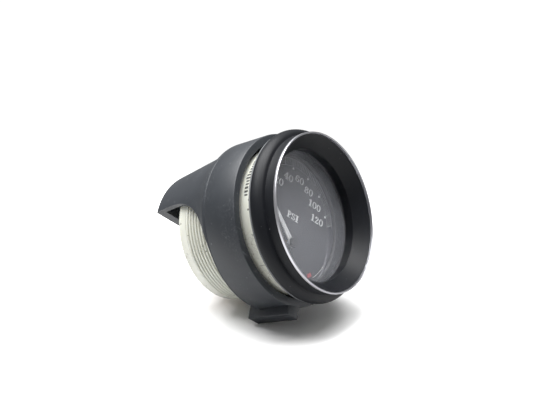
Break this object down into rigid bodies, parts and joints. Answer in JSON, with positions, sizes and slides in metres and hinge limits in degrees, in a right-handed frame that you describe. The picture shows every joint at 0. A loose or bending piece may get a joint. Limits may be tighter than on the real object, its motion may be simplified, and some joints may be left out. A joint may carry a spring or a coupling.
{
  "type": "pressure gauge",
  "caption": "Panel pressure gauge with a black flanged bezel, black dial and short-sweep pointer, white threaded case, and a retaining collar with a rear hood.",
  "frame": {"origin": "on the gauge axis, in the plane where the panel's front face meets the bezel gasket", "axes": "-Y is the way the dial faces and +Y goes through the panel to the rear; +X is the dial's right as its reader sees it; +Z is the dial's top"},
  "size_m": [0.0608, 0.0595, 0.0636],
  "materials": {
    "black_anodised": "satin black with a fine turned sheen",
    "bright_rim": "bright turned edge",
    "grey_gasket": "matte",
    "black_rubber": "matte",
    "clear_glass": "polished",
    "black_plastic_inner": "matte",
    "dial_black": "matte black with white print",
    "pointer_white": "satin",
    "movement_brass": "machined",
    "movement_steel": "ground",
    "tube_bronze": "drawn bronze tube",
    "socket_brass": "turned",
    "case_white": "milky moulded plastic",
    "zinc_steel": "zinc plated",
    "collar_black": "fine moulded grain"
  },
  "bodies": {
    "gauge_body": {"bezel": "black_anodised", "rim_ring": "bright_rim", "panel_gasket": "grey_gasket", "lens_gasket": "black_rubber", "lens": "clear_glass", "spacer_ring": "black_plastic_inner", "dial": "dial_black", "zero_stop": "pointer_white", "bourdon_tube": "tube_bronze", "socket": "socket_brass", "inlet_restrictor": "socket_brass", "front_plate": "movement_brass", "back_plate": "movement_brass", "plate_pillars": "movement_brass", "plate_screws": "movement_steel", "hairspring": "tube_bronze", "hairspring_stud": "movement_brass", "case": "case_white", "stem_washer": "zinc_steel", "stem_nut": "socket_brass", "lamp_holder": "black_plastic_inner", "lamp_terminals": "movement_brass", "lamp_bulb": "clear_glass", "retaining_collar": "collar_black"},
    "pointer_assembly": {"pointer": "pointer_white", "pointer_cap": "black_plastic_inner", "pinion_arbor": "movement_brass", "hairspring_collet": "movement_brass"},
    "sector": {"sector_gear": "movement_brass", "sector_arbor": "movement_steel", "tail_pin": "movement_steel"},
    "link": {"link_bar": "movement_brass"},
    "tube_end": {"tube_tip": "movement_brass", "tip_pin": "movement_steel"}
  },
  "joints": [
    {"name": "pointer_turn", "type": "hinge", "parent": "gauge_body", "child": "pointer_assembly", "pos_m": [0, 0, -0.009], "axis": [0, 1, 0], "range_deg": [0, 103.2], "deforming": ["hairspring"]},
    {"name": "sector_swing", "type": "hinge", "parent": "gauge_body", "child": "sector", "pos_m": [0, 0, 0.0085], "axis": [0, 1, 0], "range_deg": [-17.2, 0]},
    {"name": "link_pivot", "type": "hinge", "parent": "sector", "child": "link", "pos_m": [0.00092, 0, 0.01463], "axis": [0, 1, 0], "range_deg": [0, 17.2]},
    {"name": "tube_end_slide", "type": "slide", "parent": "gauge_body", "child": "tube_end", "axis": [-1, 0, 0], "range_m": [0, 0.00184], "stiffness_N_per_m": 200, "springref_m": -0.0001, "deforming": ["bourdon_tube"]}
  ],
  "couplings": [
    {"joint": "pointer_turn", "follows": "tube_end_slide", "rad_per_m": 971.34},
    {"joint": "sector_swing", "follows": "tube_end_slide", "rad_per_m": -161.89},
    {"joint": "link_pivot", "follows": "tube_end_slide", "rad_per_m": 161.89}
  ]
}
